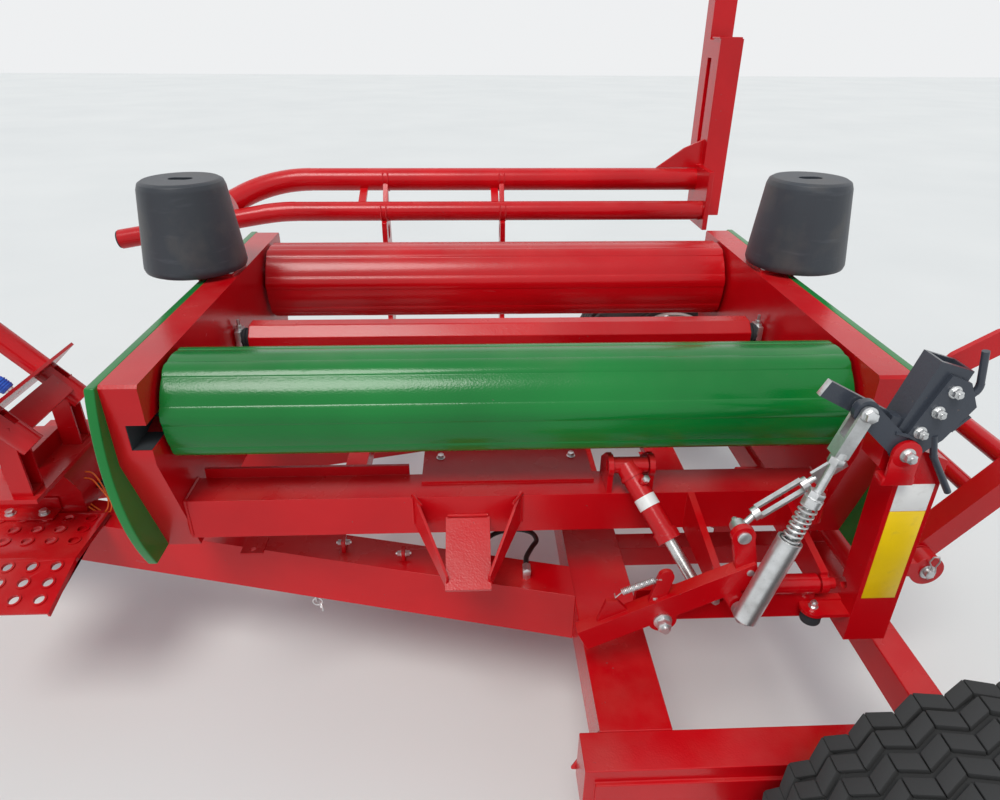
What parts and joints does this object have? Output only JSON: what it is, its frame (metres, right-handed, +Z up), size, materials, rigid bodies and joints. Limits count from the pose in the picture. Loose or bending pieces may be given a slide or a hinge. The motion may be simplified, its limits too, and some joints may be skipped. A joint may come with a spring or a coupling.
{
  "type": "bale wrapper",
  "caption": "Trailed self-loading turntable wrapper for round bales, with rollers, guide cones, a side loading arm, a film cutter and a film mast.",
  "frame": {"origin": "centre of the tow eye's hole at its middle height, 0.45 m above the ground", "axes": "+X points forward to the tractor, +Y to the machine's left side, +Z up"},
  "size_m": [3.6232, 2.7175, 2.1],
  "materials": {
    "red_paint": "glossy",
    "green_paint": "glossy",
    "white_paint": "satin",
    "grey_paint": "satin",
    "zinc": "satin",
    "bright_rod": "polished",
    "black_rubber": "matt",
    "tyre_rubber": "matt"
  },
  "bodies": {
    "root": {"drawbar_front": "red_paint", "leg_left": "red_paint", "leg_right": "red_paint", "cross_beam": "red_paint", "side_arm_left": "red_paint", "side_arm_right": "red_paint", "rear_beam": "red_paint", "rail_left": "red_paint", "rail_right": "red_paint", "tow_eye": "zinc", "step": "red_paint", "outrigger": "red_paint", "load_shaft": "zinc", "mast_base": "red_paint", "mast": "red_paint", "dispenser": "red_paint", "jack_sleeve": "grey_paint"},
    "jack": {"jack_leg": "zinc"},
    "left_wheel": {"wheel_left": "white_paint", "tyre_left": "tyre_rubber"},
    "right_wheel": {"wheel_right": "white_paint", "tyre_right": "tyre_rubber"},
    "tilting_frame": {"tilt_frame": "red_paint", "bearing": "grey_paint"},
    "tail_ramp": {"ramp": "red_paint"},
    "turntable": {"spine": "red_paint", "beam_left": "red_paint", "beam_right": "red_paint", "cheek_front": "red_paint", "cheek_rear": "red_paint", "guard_front": "green_paint", "guard_rear": "green_paint", "shaft_tube": "red_paint"},
    "left_roller": {"roller_left": "green_paint"},
    "right_roller": {"roller_right": "red_paint"},
    "front_cone": {"cone_front": "black_rubber"},
    "back_cone": {"cone_rear": "black_rubber"},
    "tilt_cylinder": {"tilt_barrel": "red_paint"},
    "tilt_piston": {"tilt_rod": "bright_rod"},
    "loader": {"loading_arm": "red_paint", "arm_plate_front": "red_paint", "arm_plate_rear": "red_paint", "near_fork": "red_paint", "far_post": "red_paint", "far_fork": "red_paint"},
    "load_cylinder": {"load_barrel": "red_paint"},
    "load_piston": {"load_rod": "bright_rod"},
    "cutter": {"cutter_frame": "red_paint"},
    "knife": {"knife_holder": "grey_paint"},
    "lever": {"cutter_lever": "red_paint"},
    "cutter_cylinder": {"cutter_barrel": "red_paint"},
    "cutter_piston": {"cutter_rod": "bright_rod"},
    "spring_link": {"spring_tube": "zinc", "spring_rod": "zinc"},
    "tension_link": {"turnbuckle": "zinc"},
    "film_spindle": {"spindle": "zinc"},
    "first_stretch": {"stretch_roller_a": "zinc"},
    "second_stretch": {"stretch_roller_b": "zinc"}
  },
  "joints": [
    {"name": "jack_slide", "type": "slide", "parent": "root", "child": "jack", "axis": [0, 0, 1], "range_m": [0, 0.25]},
    {"name": "left_wheel_spin", "type": "hinge", "parent": "root", "child": "left_wheel", "pos_m": [-3.13, 1.13, -0.06], "axis": [0, 1, 0], "continuous": true},
    {"name": "right_wheel_spin", "type": "hinge", "parent": "root", "child": "right_wheel", "pos_m": [-3.13, -1.13, -0.06], "axis": [0, 1, 0], "continuous": true},
    {"name": "frame_tilt", "type": "hinge", "parent": "root", "child": "tilting_frame", "pos_m": [-3.185, 0, 0.065], "axis": [0, -1, 0], "range_deg": [0, 45]},
    {"name": "ramp_fold", "type": "hinge", "parent": "tilting_frame", "child": "tail_ramp", "pos_m": [-3.335, 0, 0.08], "axis": [0, -1, 0], "range_deg": [0, 40]},
    {"name": "table_turn", "type": "hinge", "parent": "tilting_frame", "child": "turntable", "pos_m": [-2.35, 0, 0.15], "axis": [0, 0, 1], "continuous": true},
    {"name": "left_roller_turn", "type": "hinge", "parent": "turntable", "child": "left_roller", "pos_m": [-2.35, 0.409, 0.5], "axis": [1, 0, 0], "continuous": true},
    {"name": "right_roller_turn", "type": "hinge", "parent": "turntable", "child": "right_roller", "pos_m": [-2.35, -0.409, 0.5], "axis": [1, 0, 0], "continuous": true},
    {"name": "front_cone_turn", "type": "hinge", "parent": "turntable", "child": "front_cone", "pos_m": [-1.5195, -0.15, 0.625], "axis": [0, 0, 1], "continuous": true},
    {"name": "back_cone_turn", "type": "hinge", "parent": "turntable", "child": "back_cone", "pos_m": [-3.1805, -0.15, 0.625], "axis": [0, 0, 1], "continuous": true},
    {"name": "tilt_cylinder_swing", "type": "hinge", "parent": "root", "child": "tilt_cylinder", "pos_m": [-3.05, 0, -0.18], "axis": [0, -1, 0], "range_deg": [0, 30.4]},
    {"name": "tilt_piston_slide", "type": "slide", "parent": "tilt_cylinder", "child": "tilt_piston", "axis": [0.723, 0, 0.6909], "range_m": [0, 0.1894]},
    {"name": "loader_swing", "type": "hinge", "parent": "root", "child": "loader", "pos_m": [-2.35, -1, 0.05], "axis": [1, 0, 0], "range_deg": [0, 90]},
    {"name": "load_cylinder_swing", "type": "hinge", "parent": "root", "child": "load_cylinder", "pos_m": [-2.15, -0.5, -0.08], "axis": [1, 0, 0], "range_deg": [-1.56, 0]},
    {"name": "load_piston_slide", "type": "slide", "parent": "load_cylinder", "child": "load_piston", "axis": [0, -0.9995, 0.0328], "range_m": [-0.2218, 0]},
    {"name": "cutter_swing", "type": "hinge", "parent": "turntable", "child": "cutter", "pos_m": [-2.35, 0.71, 0.23], "axis": [1, 0, 0], "range_deg": [0, 12]},
    {"name": "cutter_cylinder_swing", "type": "hinge", "parent": "turntable", "child": "cutter_cylinder", "pos_m": [-2.6, 0.47, 0.362], "axis": [1, 0, 0], "range_deg": [0, 1.04]},
    {"name": "cutter_piston_slide", "type": "slide", "parent": "cutter_cylinder", "child": "cutter_piston", "axis": [-0.4328, 0.6732, -0.5995], "range_m": [0, 0.0122]},
    {"name": "lever_turn", "type": "hinge", "parent": "cutter", "child": "lever", "pos_m": [-2.629, 0, 0.195], "axis": [0, -1, 0], "range_deg": [0, 20]},
    {"name": "knife_turn", "type": "hinge", "parent": "cutter", "child": "knife", "pos_m": [-2.993, 0, 0.58], "axis": [0, 1, 0], "range_deg": [0, 25.9]},
    {"name": "spring_link_turn", "type": "hinge", "parent": "lever", "child": "spring_link", "pos_m": [-2.774, 0, 0.228], "axis": [0, -1, 0], "range_deg": [-24.15, 0]},
    {"name": "tension_link_turn", "type": "hinge", "parent": "lever", "child": "tension_link", "pos_m": [-2.76, 0, 0.387], "axis": [0, -1, 0], "range_deg": [-32.75, 0]},
    {"name": "spindle_turn", "type": "hinge", "parent": "root", "child": "film_spindle", "pos_m": [-0.75, 0.23, 0.85], "axis": [0, 0, 1], "continuous": true},
    {"name": "first_stretch_turn", "type": "hinge", "parent": "root", "child": "first_stretch", "pos_m": [-0.87, 0.06, 0.85], "axis": [0, 0, 1], "continuous": true},
    {"name": "second_stretch_turn", "type": "hinge", "parent": "root", "child": "second_stretch", "pos_m": [-0.87, 0.13, 0.85], "axis": [0, 0, 1], "continuous": true}
  ],
  "couplings": [
    {"joint": "right_roller_turn", "follows": "left_roller_turn", "ratio": 1},
    {"joint": "tilt_cylinder_swing", "follows": "frame_tilt", "ratio": 0.66452},
    {"joint": "tilt_piston_slide", "follows": "frame_tilt", "m_per_rad": 0.23863},
    {"joint": "load_cylinder_swing", "follows": "loader_swing", "ratio": -0.011753},
    {"joint": "load_piston_slide", "follows": "loader_swing", "m_per_rad": -0.13994},
    {"joint": "cutter_cylinder_swing", "follows": "cutter_swing", "ratio": 0.069606},
    {"joint": "cutter_piston_slide", "follows": "cutter_swing", "m_per_rad": 0.053627},
    {"joint": "knife_turn", "follows": "lever_turn", "ratio": 1.28},
    {"joint": "spring_link_turn", "follows": "lever_turn", "ratio": -1.1824},
    {"joint": "tension_link_turn", "follows": "lever_turn", "ratio": -1.6125},
    {"joint": "second_stretch_turn", "follows": "first_stretch_turn", "ratio": -1.6}
  ]
}
